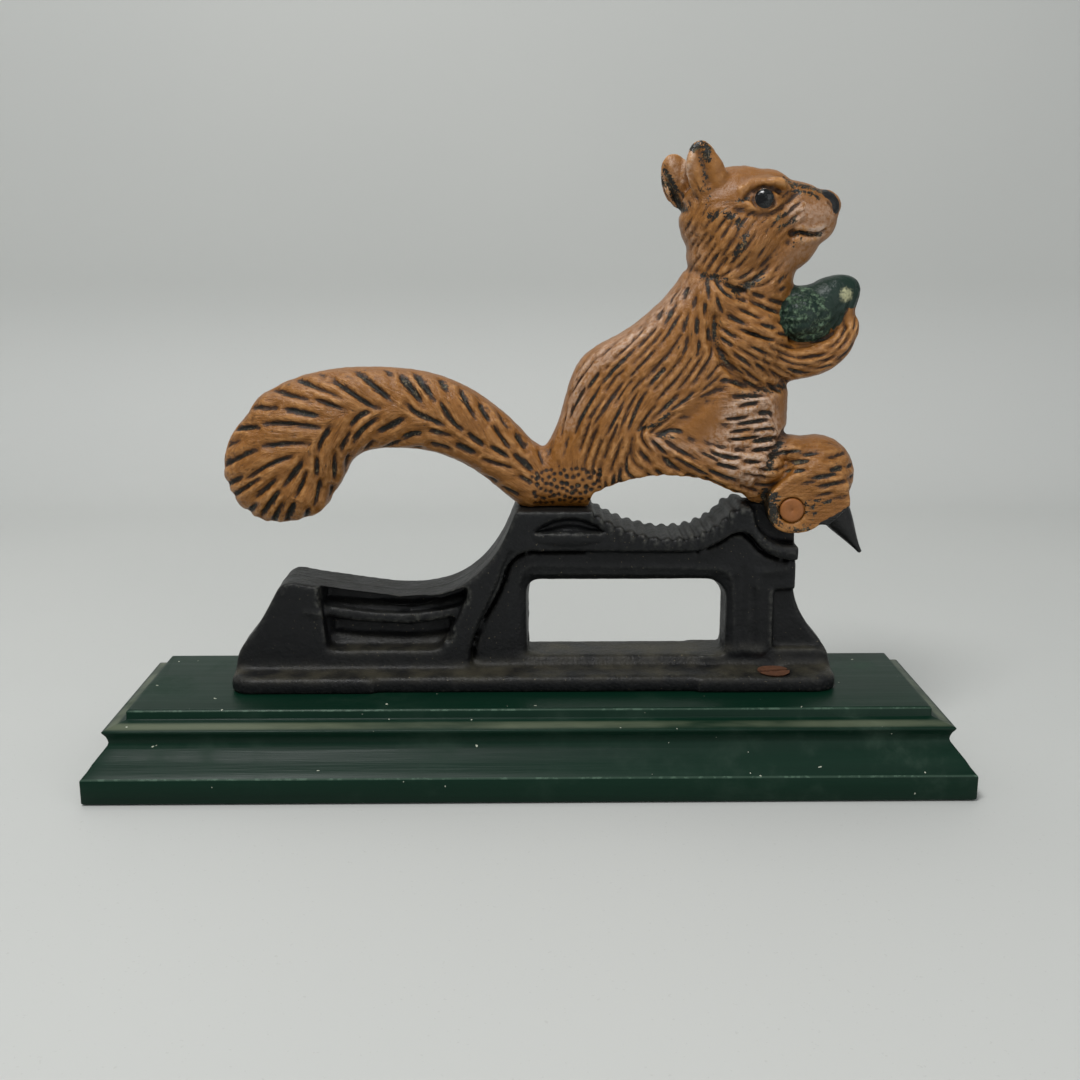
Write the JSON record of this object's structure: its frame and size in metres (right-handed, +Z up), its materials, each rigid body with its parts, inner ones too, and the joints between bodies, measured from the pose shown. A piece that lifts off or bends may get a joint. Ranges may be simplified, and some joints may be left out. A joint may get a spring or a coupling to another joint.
{
  "type": "lever nutcracker",
  "caption": "Cast-iron lever nutcracker on a moulded wooden plinth: a squirrel figure hinged at its foot, with the tail as handle and serrated jaws under its belly.",
  "frame": {"origin": "middle of the plinth's underside, on the surface it stands on", "axes": "+X along the plinth, from the handle end towards the squirrel's nose; +Y from the front to the back; +Z up"},
  "size_m": [0.28, 0.08, 0.2012],
  "materials": {
    "green_painted_wood": "satin dark green paint with dusty worn edges",
    "black_iron": "black paint over rough casting, satin",
    "squirrel_paint": "orange-brown enamel over cast fur with dark grooves; acorn dark green, claw black",
    "pin_steel": "orange-brown paint on a flat steel head",
    "screw_steel": "rust-brown, worn"
  },
  "bodies": {
    "base": {"plinth": "green_painted_wood", "frame": "black_iron", "screw_front": "screw_steel", "screw_back": "screw_steel"},
    "lever": {"squirrel_lever": "squirrel_paint", "pivot_pin": "pin_steel"}
  },
  "joints": [
    {"name": "lever_pivot", "type": "hinge", "parent": "base", "child": "lever", "pos_m": [0.0851, 0.007, 0.0857], "axis": [0, 1, 0], "range_deg": [0, 47]}
  ]
}
